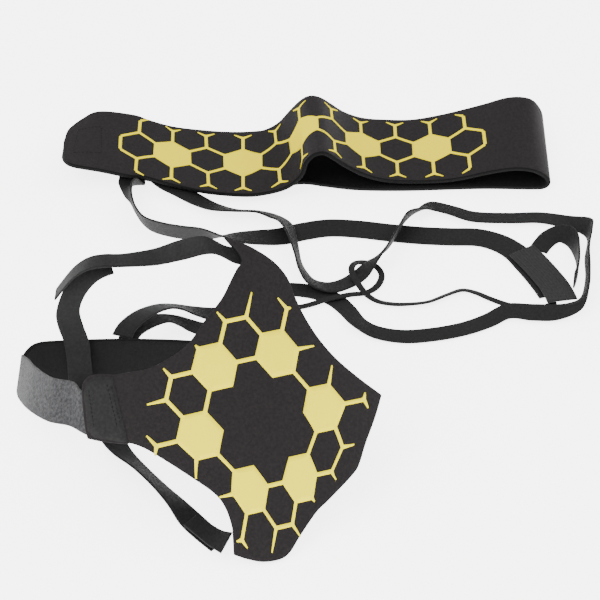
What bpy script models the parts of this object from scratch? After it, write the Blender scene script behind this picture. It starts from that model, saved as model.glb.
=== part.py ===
"""Solo football kick trainer: a waist belt, an elastic tether and a ball holder, laid out on a floor.

Lengths in the tables are millimetres on the layout's own floor grid (x right, y away, z up).
LAYOUT_CENTRE is the grid point under the middle of the belt and holder, which is the object's origin.
"""

import math

import bmesh
import bpy
from mathutils import Matrix, Vector
from mathutils.geometry import delaunay_2d_cdt

MM = 0.001
LAYOUT_CENTRE = (-2.43, -30.55)
COLLECTION = "kick_trainer"

# Driving dimensions, in millimetres.
GAP = 0.3                 # clearance between pieces that touch
BELT_THICK = 4.0
PANEL_THICK = 4.0
BAND_THICK = 3.6
PATCH_THICK = 1.2         # hook or loop patch
WEB_THICK = 1.8           # elastic webbing
WIDE_WEB = 25.0
RIBBON_WEB = 18.0
CORD_WEB = 6.0
ELASTIC_WEB = 28.0
STRAP_WEB = 20.0

# The holder's front panel is a shallow dome. Its own axes are across, up and out of its face.
PANEL_TILT = math.radians(42.0)
PANEL_TURN = math.radians(18.0)
PANEL_CENTRE = (-31.0, -243.3, 82.8)
DOME_ACROSS = 240.0
DOME_UP = 700.0

# Rows of (x, y, z) along the belt's near and far edges, from the closing tab's hinge line to the loop end.
BELT_NEAR = [
    (-162.4, 162, 14), (-148, 161, 13.5), (-123, 151, 12.5), (-89, 143, 9.8), (-55, 140, 8.4), (-35, 142, 8.4),
    (-13, 148, 11), (1, 152, 22), (6, 153, 37), (13, 154, 45), (23, 155, 46.5), (33, 156, 39), (44, 157, 29.6),
    (62, 158, 18), (83, 160, 10), (110, 160, 8.5), (145, 160, 11), (180, 160, 20), (203, 160, 24),
    (220, 160, 22), (231, 160, 16), (236, 160, 9), (232.5, 159, 3.6), (220, 159, 2.2), (172, 160, 2.1),
    (100, 157, 2.1), (54, 158, 2.1), (25, 163, 2.1), (0, 167, 2.1), (-35, 157, 2.4), (-70, 156, 3.7),
    (-130, 166, 3.7), (-180, 182, 3.7), (-200, 190, 3.7), (-208, 200, 3.7),
]
BELT_FAR = [
    (-162.4, 255, 17), (-148, 250, 14.5), (-125, 246, 9.6), (-95, 241, 8.8), (-57, 237, 8.6), (-37, 240, 9),
    (-21, 246, 14), (-8, 251, 27), (2, 253, 37), (10, 255, 40), (19, 255, 38), (29, 256, 30), (42, 256, 20),
    (60, 257, 12), (82, 258, 9), (110, 258, 9), (142, 258, 16), (177, 258, 27), (203, 258, 36),
    (222, 258, 35), (232, 258, 25), (236, 258, 13), (233, 258, 4.4), (220, 258, 2.2), (172, 258, 2.1),
    (100, 257, 2.1), (54, 257, 2.1), (25, 257, 2.1), (0, 256, 2.1), (-35, 249, 2.4), (-70, 245, 3.7),
    (-130, 252, 3.7), (-180, 260, 3.7), (-200, 254, 3.7), (-208, 242, 3.7),
]
# The closing tab, from its rounded end to the hinge line.
TAB_NEAR = [(-226, 182, 25), (-223, 171, 25), (-214, 165, 24), (-190, 165, 18.5), (-163.2, 162, 14)]
TAB_FAR = [(-227, 205, 22), (-224, 228, 19), (-211, 248, 18), (-195, 256, 20.5), (-163.2, 255, 17)]


def at(x, y, z):
    """A layout point in metres, in the object's own frame."""
    return Vector(((x - LAYOUT_CENTRE[0]) * MM, (y - LAYOUT_CENTRE[1]) * MM, z * MM))


def clear_scene():
    for obj in list(bpy.data.objects):
        bpy.data.objects.remove(obj, do_unlink=True)


def principled(name, colour, roughness):
    mat = bpy.data.materials.new(name)
    mat.use_nodes = True
    shader = mat.node_tree.nodes["Principled BSDF"]
    shader.inputs["Base Color"].default_value = (*colour, 1.0)
    shader.inputs["Roughness"].default_value = roughness
    shader.inputs["Metallic"].default_value = 0.0
    return mat


def curve_point(points, u):
    """The point at u, from 0 to 1, on a smooth curve through points of any dimension."""
    spans = len(points) - 1
    place = min(max(u, 0.0), 1.0) * spans
    i = min(int(place), spans - 1)
    t = place - i
    before = points[max(i - 1, 0)]
    after = points[min(i + 2, spans)]
    out = []
    for p0, p1, p2, p3 in zip(before, points[i], points[i + 1], after):
        out.append(0.5 * (2 * p1 + (p2 - p0) * t + (2 * p0 - 5 * p1 + 4 * p2 - p3) * t * t
                          + (3 * p1 - p0 - 3 * p2 + p3) * t * t * t))
    return out


def lofted(near, far):
    """A surface between two edges: a function of u along, v across and height over it."""
    def flat(u, v):
        return Vector(curve_point(near, u)).lerp(Vector(curve_point(far, u)), v)

    def point(u, v, height=0.0):
        step = 0.002
        low, high = max(u - step, 0.0), min(u + step, 1.0)
        along = flat(high, v) - flat(low, v)
        across = flat(u, 1.0) - flat(u, 0.0)
        return flat(u, v) + along.cross(across).normalized() * height
    return point


def rolled(route, width):
    """Two edges of a ribbon from rows of (x, y, lift, roll): lift is over the floor, roll in degrees."""
    count = len(route)
    near, far = [], []
    for i, (x, y, lift, roll) in enumerate(route):
        x0, y0 = route[max(i - 1, 0)][:2]
        x1, y1 = route[min(i + 1, count - 1)][:2]
        side = Vector((-(y1 - y0), x1 - x0, 0.0)).normalized()
        turn = math.radians(roll)
        half = side * math.cos(turn) + Vector((0.0, 0.0, math.sin(turn)))
        half *= width / 2
        height = lift + abs(half.z) + WEB_THICK / 2 * abs(math.cos(turn))
        centre = Vector((x, y, height))
        near.append(tuple(centre - half))
        far.append(tuple(centre + half))
    return near, far


def panel_axes():
    facing = Vector((math.sin(PANEL_TURN), -math.cos(PANEL_TURN), 0.0))
    up = Vector((0.0, 0.0, 1.0))
    out = facing * math.sin(PANEL_TILT) + up * math.cos(PANEL_TILT)
    rise = up * math.sin(PANEL_TILT) - facing * math.cos(PANEL_TILT)
    across = Vector((math.cos(PANEL_TURN), math.sin(PANEL_TURN), 0.0))
    return across, rise, out


def panel_point(a, b, height=0.0):
    """A point at height over the front panel's outer face, in layout millimetres."""
    across, rise, out = panel_axes()
    sink = a * a / (2 * DOME_ACROSS) + b * b / (2 * DOME_UP)
    normal = (out + across * (a / DOME_ACROSS) + rise * (b / DOME_UP)).normalized()
    return Vector(PANEL_CENTRE) + across * a + rise * b - out * sink + normal * height


def new_object(name, mesh, material):
    obj = bpy.data.objects.new(name, mesh)
    obj.data.materials.append(material)
    bpy.data.collections[COLLECTION].objects.link(obj)
    return obj


def place_points(mesh, origin):
    """Moves a mesh so that its object can sit at origin, given in metres."""
    mesh.transform(Matrix.Translation(-origin))


def thicken(obj, thickness, side):
    """Solidify: side 0 puts the sheet in the middle, -1 under the modelled face."""
    solid = obj.modifiers.new("thickness", "SOLIDIFY")
    solid.thickness = thickness * MM
    solid.offset = side
    solid.use_even_offset = False


def strip(name, material, point, thickness, lengths, widths=1, span=(0.0, 1.0), across=(0.0, 1.0),
          height=0.0, hinge=None):
    """A strip of sheet laid on a lofted surface, as an open grid with Solidify."""
    bm = bmesh.new()
    bmesh.ops.create_grid(bm, x_segments=lengths, y_segments=widths, size=1.0)
    for vert in bm.verts:
        u = span[0] + (span[1] - span[0]) * (vert.co.x + 1) / 2
        v = across[0] + (across[1] - across[0]) * (vert.co.y + 1) / 2
        vert.co = at(*point(u, v, height))
    mesh = bpy.data.meshes.new(name)
    bm.to_mesh(mesh)
    bm.free()
    obj = new_object(name, mesh, material)
    thicken(obj, thickness, 0.0)
    if hinge is not None:
        origin = at(*hinge)
        place_points(mesh, origin)
        obj.location = origin
    return obj


def ribbon(name, material, route, width, per_span):
    near, far = rolled(route, width)
    return strip(name, material, lofted(near, far), WEB_THICK, (len(route) - 1) * per_span)


def strap(name, material, near, far, thickness, per_span, widths=1):
    return strip(name, material, lofted(near, far), thickness, (len(near) - 1) * per_span, widths)


def stepped(outline, spacing):
    """The outline with its long edges broken into steps no longer than spacing."""
    out = []
    for i, end in enumerate(outline):
        start = Vector(outline[i - 1])
        steps = max(1, math.ceil((Vector(end) - start).length / spacing))
        out += [tuple(start.lerp(Vector(end), k / steps)) for k in range(1, steps + 1)]
    return out


def outline_sheet(name, material, outline, spacing, surface, thickness, hinge=None):
    """A flat outline filled with a net of triangles, laid on a surface and thickened inwards."""
    outline = stepped(outline, spacing)
    low_a = min(p[0] for p in outline)
    high_a = max(p[0] for p in outline)
    low_b = min(p[1] for p in outline)
    high_b = max(p[1] for p in outline)
    count = len(outline)
    points = [Vector(p) for p in outline]
    edges = [(i, (i + 1) % count) for i in range(count)]

    def well_inside(p):
        crossings = 0
        nearest = 1e9
        for i, j in edges:
            a, b = points[i], points[j]
            if (a.y > p.y) != (b.y > p.y) and p.x < (b.x - a.x) * (p.y - a.y) / (b.y - a.y) + a.x:
                crossings += 1
            t = max(0.0, min(1.0, (p - a).dot(b - a) / (b - a).length_squared))
            nearest = min(nearest, (a.lerp(b, t) - p).length)
        return crossings % 2 == 1 and nearest > 0.45 * spacing

    inner = []
    for j in range(int((high_b - low_b) / spacing) + 1):
        for i in range(int((high_a - low_a) / spacing) + 1):
            p = Vector((low_a + (i + 0.5 * (j % 2)) * spacing, low_b + j * spacing))
            if well_inside(p):
                inner.append(p)
    verts, _, faces, *_ = delaunay_2d_cdt(points + inner, edges, [list(range(count))], 1, 1e-5)
    mesh = bpy.data.meshes.new(name)
    mesh.from_pydata([at(*surface(v.x, v.y)) for v in verts], [], [list(f) for f in faces])
    mesh.update()
    obj = new_object(name, mesh, material)
    thicken(obj, thickness, -1.0)
    if hinge is not None:
        origin = at(*hinge)
        place_points(mesh, origin)
        obj.location = origin
    return obj


def rounded(corners, radius, steps=3):
    """A closed outline whose corners are rounded with arcs."""
    out = []
    count = len(corners)
    for i, corner in enumerate(corners):
        c = Vector(corner)
        before = Vector(corners[i - 1]) - c
        after = Vector(corners[(i + 1) % count]) - c
        r = min(radius, before.length * 0.45, after.length * 0.45)
        start = c + before.normalized() * r
        end = c + after.normalized() * r
        for k in range(steps + 1):
            t = k / steps
            out.append(tuple(start * (1 - t) ** 2 + c * 2 * t * (1 - t) + end * t ** 2))
    return out


# Front panel outline on the panel's own (across, up) axes, from the top arm clockwise.
PANEL_OUTLINE = [
    (9, 154), (28, 142), (44, 126), (52, 110), (54, 93), (58, 75), (65, 56), (76, 37), (92, 18), (109, 1),
    (98, -16), (84, -35), (75, -49), (67, -57), (41, -73), (29, -80), (12, -95), (1, -106), (-8, -110),
    (-22, -109), (-34, -104), (-44, -98), (-42, -85), (-41, -75), (-43, -60), (-49, -47), (-65, -29),
    (-81, -12), (-93, 0), (-103, 7), (-103, 64), (-90, 63), (-77, 62), (-57, 67), (-41, 75), (-23, 91),
    (-7, 104), (5, 118), (12, 126), (18, 134),
]
PANEL_NET = 14.0
TAB_NET = 8.0
TAB_HINGE_ACROSS = -103.0
TAB_HINGE_UP = 36.0
TAB_HINGE_RISE = 1.1      # the hinge line clears the curved face over its whole length
HOLDER_TAB = [
    (-103.4, 64), (-103.4, 7), (-109, 8), (-130, 17), (-134, 24), (-130, 57), (-125, 66), (-117, 68),
]


def make_belt(neoprene, hook, loop, webbing):
    belt = lofted(BELT_NEAR, BELT_FAR)
    strip("belt_body", neoprene, belt, BELT_THICK, (len(BELT_NEAR) - 1) * 3, 2)
    tab = lofted(TAB_NEAR, TAB_FAR)
    hinge = (-163.0, 208.5, 17.5)
    strip("belt_closing_tab", neoprene, tab, BELT_THICK, 12, 2, hinge=hinge)
    under = -(BELT_THICK / 2 + GAP + PATCH_THICK / 2)
    strip("belt_hook_patch", hook, tab, PATCH_THICK, 6, 2, span=(0.28, 0.80), across=(0.22, 0.80),
          height=under, hinge=hinge)
    bed = PATCH_THICK / 2 + 0.1
    loop_near = [(-196, 196, bed), (-138, 196, bed), (-80, 196, bed)]
    loop_far = [(-196, 238, bed), (-138, 238, bed), (-80, 238, bed)]
    strap("belt_loop_patch", loop, loop_near, loop_far, PATCH_THICK, 2)
    top = 3.7 + BELT_THICK / 2 + GAP + WEB_THICK / 2
    anchor_near = [(-174, 184, top), (-148, 184, top), (-122, 184, top)]
    anchor_far = [(-174, 212, top), (-148, 212, top), (-122, 212, top)]
    strap("belt_tether_anchor", webbing, anchor_near, anchor_far, WEB_THICK, 2)


ON_BELT = 6.1             # height of the belt's lower layer under the tether's ends

# Tether routes: x, y, lift over the floor, and roll in degrees, 0 lying flat and 90 on edge.
WIDE_ROUTE = [
    (-160, 183, ON_BELT, 0), (-160, 169, ON_BELT, 0), (-160, 161, 4.8, 0), (-160, 149, 0.3, 60),
    (-159, 139, 0.3, 86), (-156, 124, 0.3, 98), (-150, 107, 0.3, 106), (-141, 94, 0.3, 112),
    (-126, 86, 0.3, 112), (-108, 81, 0.3, 112), (-90, 79, 0.3, 116), (-75, 79, 0.3, 136), (-59, 82, 0.3, 160),
    (-40, 85, 0.3, 172), (-18, 88, 0.3, 178), (4, 96, 0.3, 180), (28, 101, 0.3, 180), (55, 99, 0.3, 180),
    (83, 94, 0.3, 180), (111, 90, 0.3, 180), (139, 88, 0.3, 180), (165, 87, 0.3, 180), (184, 79, 0.3, 180),
    (198, 66, 0.3, 180), (207, 50, 0.3, 180), (216, 32, 0.3, 180), (223, 16, 0.3, 180), (227, 5, 0.3, 180),
]
LONG_ROUTE = [
    (-138, 183, ON_BELT, 0), (-137, 173, ON_BELT, 0), (-128, 161, ON_BELT, 0), (-114, 150, ON_BELT, 0),
    (-98, 139, 3.0, -6), (-81, 129, 0.3, -18), (-61, 121, 0.3, -34), (-40, 119, 0.3, -36), (-24, 112, 0.6, -30),
    (-13, 96, 4.6, -36), (-7, 72, 4.6, -56), (-2, 49, 0.3, -66), (4, 29, 0.3, -50), (12, 18, 0.3, -28),
    (27, 14, 0.3, -10), (42, 20, 0.3, -10), (55, 32, 0.3, -12), (65, 42, 3.6, -34), (74, 51, 4.6, -58),
    (83, 67, 3.2, -74), (91, 86, 3.2, -76), (99, 104, 3.2, -72), (111, 119, 0.3, -46), (124, 131, 0.3, -12),
    (142, 125, 0.3, -12), (163, 116, 0.3, -8), (196, 114, 0.3, -8), (225, 115, 0.3, -6), (250, 109, 0.3, 4),
    (265, 98, 0.3, 40), (268, 83, 0.3, 80), (263, 56, 0.3, 82), (261, 28, 0.3, 82), (256, 1, 0.3, 70),
    (246, -15, 2.4, 18), (228, -22, 2.4, -10), (207, -23, 2.4, -14), (186, -20, 2.4, -6), (167, -30, 0.3, 2),
    (145, -41, 0.3, 3), (119, -48, 0.3, 2), (92, -51, 0.3, 2), (68, -46, 0.3, 6), (52, -34, 0.3, 14),
    (42, -16, 0.3, 6), (31, -1, 0.3, 0), (16, 8, 0.3, 0), (-6, 13, 0.3, 0), (-27, 7, 2.8, 0),
    (-46, -14, 2.8, 0), (-62, -34, 2.8, 0), (-73, -41, 2.8, 0), (-85, -44, 2.8, 2), (-97, -42, 4.6, 8),
    (-108, -42, 10.0, 10),
    (-120, -48, 18.0, 10), (-133, -62, 25.5, 6), (-145, -78, 30.0, 2), (-149, -92, 30.5, 0),
]
THIN_ROUTE = [
    (-29, -17, 0.3, 0), (-14, -14, 0.3, 0), (0, -11, 0.3, 0), (12, -8, 1.6, 0), (23, -4, 3.0, 0),
    (34, -1, 3.4, 0), (46, 3, 3.0, 0), (59, 8, 0.3, -4), (69, 16, 0.3, 10), (74, 28, 0.3, 14), (73, 39, 0.3, 4),
    (67, 48, 0.3, 0), (59, 51, 0.3, 0), (51, 46, 3.8, 4), (47, 36, 6.6, 4), (48, 25, 6.8, 2), (53, 13, 6.0, 0),
    (60, 3, 3.0, 0), (70, -4, 0.3, -12), (84, -8, 0.3, -16), (100, -8, 0.3, -22), (116, -5, 0.3, -28),
    (132, 4, 0.3, -28), (146, 11, 0.3, -20), (158, 8, 0.3, -14), (171, 0, 0.3, -6), (184, -7, 0.3, 0),
    (198, -12, 0.3, 0), (212, -13, 0.3, 0), (223, -9, 0.3, 0), (229, -3.5, 0.3, 0),
]
LEAD_ROUTE = [
    (-153, -92, 37.5, 0), (-149, -80, 37.5, -2), (-141, -67, 36.0, -6), (-131, -53, 31.0, -12),
    (-119, -38, 22.0, -18), (-107, -28, 12.0, -20), (-94, -23, 4.0, -14), (-78, -21, 0.3, -2),
    (-62, -20, 0.3, 0), (-46, -18.5, 0.3, 0), (-30.5, -17.4, 0.3, 0),
]
SLACK_ROUTE = [
    (219.5, 68, 0.3, 0), (224, 76, 0.3, 2), (230, 83, 0.3, 12), (238, 87, 0.3, 24), (246, 84, 0.3, 46),
    (252, 73, 0.3, 66), (254, 54, 0.3, 84), (253, 37, 0.3, 88), (250, 24, 0.3, 90), (247.5, 16, 0.3, 90),
]
ELASTIC_ROUTE = [
    (203.5, 66, 2.6, 0), (212, 52, 2.6, 0), (221.5, 34, 2.6, 0), (229, 17, 3.0, 0), (233, 3, 4.2, 0),
    (235, -8, 5.4, 0),
]
ELASTIC_THICK = 2.6


def make_tethers(webbing, ribbed):
    ribbon("wide_tether", webbing, WIDE_ROUTE, WIDE_WEB, 2)
    ribbon("long_tether", webbing, LONG_ROUTE, RIBBON_WEB, 2)
    ribbon("thin_tether", webbing, THIN_ROUTE, CORD_WEB, 2)
    ribbon("upper_lead", webbing, LEAD_ROUTE, RIBBON_WEB, 2)
    ribbon("slack_ribbon", webbing, SLACK_ROUTE, RIBBON_WEB, 4)
    near, far = rolled(ELASTIC_ROUTE, ELASTIC_WEB)
    strap("ribbed_elastic", ribbed, near, far, ELASTIC_THICK, 3)


# The band's edges, from its left end to the fold at the panel's right corner.
BAND_TOP = [
    (-235, -116, 39), (-226, -103, 40), (-204, -99, 40), (-150, -97, 40), (-97, -99, 40), (-50, -105, 40),
    (-8, -120, 42), (26, -144, 48), (50, -170, 56), (65, -190, 61),
]
BAND_LOW = [
    (-236, -126, 2.2), (-228, -113, 1.9), (-206, -109, 1.9), (-150, -107, 1.9), (-97, -109, 1.9),
    (-52, -116, 2.0), (-12, -134, 4), (16, -166, 10), (32, -206, 18), (40, -246, 28),
]


def behind(a, b, depth):
    """A point at depth behind the front panel's outer face, as a plain tuple."""
    return tuple(panel_point(a, b, -depth))


STRAP_BEHIND = PANEL_THICK + GAP + PATCH_THICK + GAP + WEB_THICK / 2 + 0.2
ADJUSTER_TOP = [
    behind(-104, 57, STRAP_BEHIND), behind(-118, 58, STRAP_BEHIND), behind(-132, 59, STRAP_BEHIND + 1),
    (-184, -200, 86), (-203, -183, 75), (-219, -157, 62), (-229, -134, 51), (-236, -120, 43),
]
ADJUSTER_LOW = [
    behind(-107, 17, STRAP_BEHIND), behind(-121, 19, STRAP_BEHIND), behind(-135, 22, STRAP_BEHIND + 1),
    (-186.5, -224.5, 59.5), (-206.5, -208, 49), (-225.5, -180, 35),
    (-237.5, -149, 18), (-242, -130, 9),
]

# The strap over the back of the ball, from its end under the lower tab, along the floor and up past the band.
LOW_RUN = [
    (-64, -301, 0.3, 0), (-79, -285, 0.3, 0), (-90, -272, 0.3, 4), (-101, -258, 0.3, 26),
    (-115, -241, 0.3, 38), (-132, -220, 0.3, 38), (-147, -201, 0.3, 24), (-157, -182, 0.3, 8),
    (-168, -156, 0.3, 2), (-178, -136, 0.3, 0),
]
RISE_RIGHT = [
    (-176, -122, 3.2), (-178, -115.5, 12), (-179, -109, 30), (-180, -104.5, 44), (-184, -103, 61),
    (-186, -103, 77), (-182, -104, 92), (-174, -106, 107), (-165, -110, 119), (-154, -114, 128),
]
RISE_LEFT = [
    (-196, -121, 3.2), (-199, -115.5, 12), (-200, -109, 30), (-202, -104.5, 44), (-206, -103, 61),
    (-206, -103, 77), (-199, -101, 98), (-188, -98, 114), (-174, -96, 124), (-159, -96, 130),
]
TOP_NEAR = [
    behind(31, 128, 5.6), behind(15, 131, 5.6), (-71, -132, 164), (-96, -126, 152.5), (-119, -120, 142),
    (-146.6, -116, 137),
]
TOP_FAR = [
    behind(25, 142, 5.6), behind(8, 149, 5.6), (-78, -121, 174), (-98, -110, 161), (-121, -101, 144),
    (-146.6, -97, 135),
]
TOP_END_NEAR = [(-147, -116, 137), (-163, -116, 136.5), (-176, -116, 133), (-188, -115, 123), (-198, -114, 109),
                (-205, -113, 98)]
TOP_END_FAR = [(-147, -97, 135), (-163, -97, 134.5), (-176, -97, 131), (-188, -97, 121), (-198, -97, 107),
               (-205, -97, 96)]
LOW_TAB_OUTER = [(-63, -317, 8.5), (-74, -306, 6.8), (-86, -292, 5.6), (-94, -283, 5.2)]
LOW_TAB_INNER = [(-54, -302, 17), (-63, -293, 10), (-75, -280, 6.2), (-84, -272, 5.2)]


def make_panel(neoprene, hook):
    outline_sheet("front_panel", neoprene, PANEL_OUTLINE, PANEL_NET, panel_point, PANEL_THICK)
    hinge = panel_point(TAB_HINGE_ACROSS, TAB_HINGE_UP, TAB_HINGE_RISE)
    outline_sheet("holder_closing_tab", neoprene, HOLDER_TAB, TAB_NET, panel_point, PANEL_THICK, hinge)
    patch = rounded([(-107, 26), (-127, 26), (-127, 58), (-107, 58)], 3.0)
    outline_sheet("holder_hook_patch", hook, patch, TAB_NET,
                  lambda a, b: panel_point(a, b, -PANEL_THICK - GAP), PATCH_THICK, hinge)


def make_straps(neoprene, hook, loop, webbing):
    strap("adjuster_strap", loop, ADJUSTER_LOW, ADJUSTER_TOP, WEB_THICK, 3)
    strap("back_band", neoprene, BAND_LOW, BAND_TOP, BAND_THICK, 3, widths=2)
    right, left = rolled(LOW_RUN, STRAP_WEB)
    strap("meridian_strap", webbing, right + RISE_RIGHT, left + RISE_LEFT, WEB_THICK, 3)
    strap("top_strap", webbing, TOP_NEAR, TOP_FAR, WEB_THICK, 4)
    under = WEB_THICK / 2 + GAP + PATCH_THICK / 2
    end = lofted(TOP_END_NEAR, TOP_END_FAR)
    hinge = end(0.0, 0.5, -WEB_THICK / 2)
    strip("top_strap_end", webbing, end, WEB_THICK, (len(TOP_END_NEAR) - 1) * 4, hinge=hinge)
    strip("top_hook_patch", hook, end, PATCH_THICK, 5, span=(0.04, 0.34), across=(0.1, 0.9), height=under,
          hinge=hinge)
    tab = lofted(LOW_TAB_OUTER, LOW_TAB_INNER)
    hinge = tab(0.0, 0.5, -WEB_THICK / 2)
    strip("lower_tab", webbing, tab, WEB_THICK, (len(LOW_TAB_OUTER) - 1) * 4, hinge=hinge)
    strip("lower_hook_patch", hook, tab, PATCH_THICK, 6, span=(0.35, 0.97), across=(0.1, 0.9), height=under,
          hinge=hinge)


def main():
    clear_scene()
    collection = bpy.data.collections.new(COLLECTION)
    bpy.context.scene.collection.children.link(collection)
    neoprene = principled("neoprene", (0.024, 0.021, 0.022), 0.85)
    hook = principled("hook_patch", (0.012, 0.012, 0.012), 0.7)
    loop = principled("loop_fabric", (0.07, 0.07, 0.075), 0.95)
    webbing = principled("webbing", (0.024, 0.024, 0.024), 0.75)
    ribbed = principled("ribbed_elastic", (0.05, 0.05, 0.05), 0.7)
    make_belt(neoprene, hook, loop, webbing)
    make_tethers(webbing, ribbed)
    make_panel(neoprene, hook)
    make_straps(neoprene, hook, loop, webbing)


main()
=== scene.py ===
import math

import bmesh
import bpy
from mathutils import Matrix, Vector, noise
from mathutils.geometry import delaunay_2d_cdt


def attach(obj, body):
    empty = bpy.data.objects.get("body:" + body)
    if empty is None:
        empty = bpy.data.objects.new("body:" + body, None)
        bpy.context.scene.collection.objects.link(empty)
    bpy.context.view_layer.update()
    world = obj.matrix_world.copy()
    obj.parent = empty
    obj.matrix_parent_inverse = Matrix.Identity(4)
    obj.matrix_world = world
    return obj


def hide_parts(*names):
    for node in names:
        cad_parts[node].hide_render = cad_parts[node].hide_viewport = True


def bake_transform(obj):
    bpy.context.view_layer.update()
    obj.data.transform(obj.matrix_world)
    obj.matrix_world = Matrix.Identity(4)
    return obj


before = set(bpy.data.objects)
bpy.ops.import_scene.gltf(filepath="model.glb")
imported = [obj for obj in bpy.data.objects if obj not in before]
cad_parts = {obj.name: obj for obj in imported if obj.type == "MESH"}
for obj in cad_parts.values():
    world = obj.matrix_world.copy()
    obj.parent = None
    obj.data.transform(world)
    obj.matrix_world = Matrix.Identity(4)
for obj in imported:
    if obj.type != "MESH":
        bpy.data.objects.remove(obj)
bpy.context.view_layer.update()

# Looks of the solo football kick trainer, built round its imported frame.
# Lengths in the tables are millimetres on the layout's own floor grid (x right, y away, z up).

MM = 0.001
LAYOUT_CENTRE = (-2.43, -30.55)

# Driving dimensions, in millimetres.
GAP = 0.3                 # clearance between pieces that touch
BELT_THICK = 4.0
PANEL_THICK = 4.0
BAND_THICK = 3.6
PATCH_THICK = 1.2         # hook or loop patch
WEB_THICK = 1.8           # elastic webbing
WIDE_WEB = 25.0
RIBBON_WEB = 18.0
CORD_WEB = 6.0
ELASTIC_WEB = 28.0
STRAP_WEB = 20.0

# The holder's front panel is a shallow dome. Its own axes are across, up and out of its face.
PANEL_TILT = math.radians(42.0)
PANEL_TURN = math.radians(18.0)
PANEL_CENTRE = (-31.0, -243.3, 82.8)
DOME_ACROSS = 240.0
DOME_UP = 700.0

# Rows of (x, y, z) along the belt's near and far edges,
# from the closing tab's hinge line to the loop end.
BELT_NEAR = [
    (-162.4, 162, 14), (-148, 161, 13.5), (-123, 151, 12.5), (-89, 143, 9.8), (-55, 140, 8.4),
    (-35, 142, 8.4),
    (-13, 148, 11), (1, 152, 22), (6, 153, 37), (13, 154, 45), (23, 155, 46.5), (33, 156, 39),
    (44, 157, 29.6),
    (62, 158, 18), (83, 160, 10), (110, 160, 8.5), (145, 160, 11), (180, 160, 20), (203, 160, 24),
    (220, 160, 22), (231, 160, 16), (236, 160, 9), (232.5, 159, 3.6), (220, 159, 2.2), (172, 160, 2.1),
    (100, 157, 2.1), (54, 158, 2.1), (25, 163, 2.1), (0, 167, 2.1), (-35, 157, 2.4), (-70, 156, 3.7),
    (-130, 166, 3.7), (-180, 182, 3.7), (-200, 190, 3.7), (-208, 200, 3.7),
]
BELT_FAR = [
    (-162.4, 255, 17), (-148, 250, 14.5), (-125, 246, 9.6), (-95, 241, 8.8), (-57, 237, 8.6), (-37, 240, 9),
    (-21, 246, 14), (-8, 251, 27), (2, 253, 37), (10, 255, 40), (19, 255, 38), (29, 256, 30), (42, 256, 20),
    (60, 257, 12), (82, 258, 9), (110, 258, 9), (142, 258, 16), (177, 258, 27), (203, 258, 36),
    (222, 258, 35), (232, 258, 25), (236, 258, 13), (233, 258, 4.4), (220, 258, 2.2), (172, 258, 2.1),
    (100, 257, 2.1), (54, 257, 2.1), (25, 257, 2.1), (0, 256, 2.1), (-35, 249, 2.4), (-70, 245, 3.7),
    (-130, 252, 3.7), (-180, 260, 3.7), (-200, 254, 3.7), (-208, 242, 3.7),
]
# The closing tab, from its rounded end to the hinge line.
TAB_NEAR = [(-226, 182, 25), (-223, 171, 25), (-214, 165, 24), (-190, 165, 18.5), (-163.2, 162, 14)]
TAB_FAR = [(-227, 205, 22), (-224, 228, 19), (-211, 248, 18), (-195, 256, 20.5), (-163.2, 255, 17)]


def at(x, y, z):
    """A layout point in metres, in the object's own frame."""
    return Vector(((x - LAYOUT_CENTRE[0]) * MM, (y - LAYOUT_CENTRE[1]) * MM, z * MM))


def curve_point(points, u):
    """The point at u, from 0 to 1, on a smooth curve through points of any dimension."""
    spans = len(points) - 1
    place = min(max(u, 0.0), 1.0) * spans
    i = min(int(place), spans - 1)
    t = place - i
    before = points[max(i - 1, 0)]
    after = points[min(i + 2, spans)]
    out = []
    for p0, p1, p2, p3 in zip(before, points[i], points[i + 1], after):
        out.append(0.5 * (2 * p1 + (p2 - p0) * t + (2 * p0 - 5 * p1 + 4 * p2 - p3) * t * t
                          + (3 * p1 - p0 - 3 * p2 + p3) * t * t * t))
    return out


def lofted(near, far):
    """A surface between two edges: a function of u along, v across and height over it."""
    def flat(u, v):
        return Vector(curve_point(near, u)).lerp(Vector(curve_point(far, u)), v)

    def point(u, v, height=0.0):
        step = 0.002
        low, high = max(u - step, 0.0), min(u + step, 1.0)
        along = flat(high, v) - flat(low, v)
        across = flat(u, 1.0) - flat(u, 0.0)
        return flat(u, v) + along.cross(across).normalized() * height
    return point


def rolled(route, width):
    """Two edges of a ribbon from rows of (x, y, lift, roll): lift is over the floor, roll in degrees."""
    count = len(route)
    near, far = [], []
    for i, (x, y, lift, roll) in enumerate(route):
        x0, y0 = route[max(i - 1, 0)][:2]
        x1, y1 = route[min(i + 1, count - 1)][:2]
        side = Vector((-(y1 - y0), x1 - x0, 0.0)).normalized()
        turn = math.radians(roll)
        half = side * math.cos(turn) + Vector((0.0, 0.0, math.sin(turn)))
        half *= width / 2
        height = lift + abs(half.z) + WEB_THICK / 2 * abs(math.cos(turn))
        centre = Vector((x, y, height))
        near.append(tuple(centre - half))
        far.append(tuple(centre + half))
    return near, far


def panel_axes():
    facing = Vector((math.sin(PANEL_TURN), -math.cos(PANEL_TURN), 0.0))
    up = Vector((0.0, 0.0, 1.0))
    out = facing * math.sin(PANEL_TILT) + up * math.cos(PANEL_TILT)
    rise = up * math.sin(PANEL_TILT) - facing * math.cos(PANEL_TILT)
    across = Vector((math.cos(PANEL_TURN), math.sin(PANEL_TURN), 0.0))
    return across, rise, out


def panel_point(a, b, height=0.0):
    """A point at height over the front panel's outer face, in layout millimetres."""
    across, rise, out = panel_axes()
    sink = a * a / (2 * DOME_ACROSS) + b * b / (2 * DOME_UP)
    normal = (out + across * (a / DOME_ACROSS) + rise * (b / DOME_UP)).normalized()
    return Vector(PANEL_CENTRE) + across * a + rise * b - out * sink + normal * height


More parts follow.
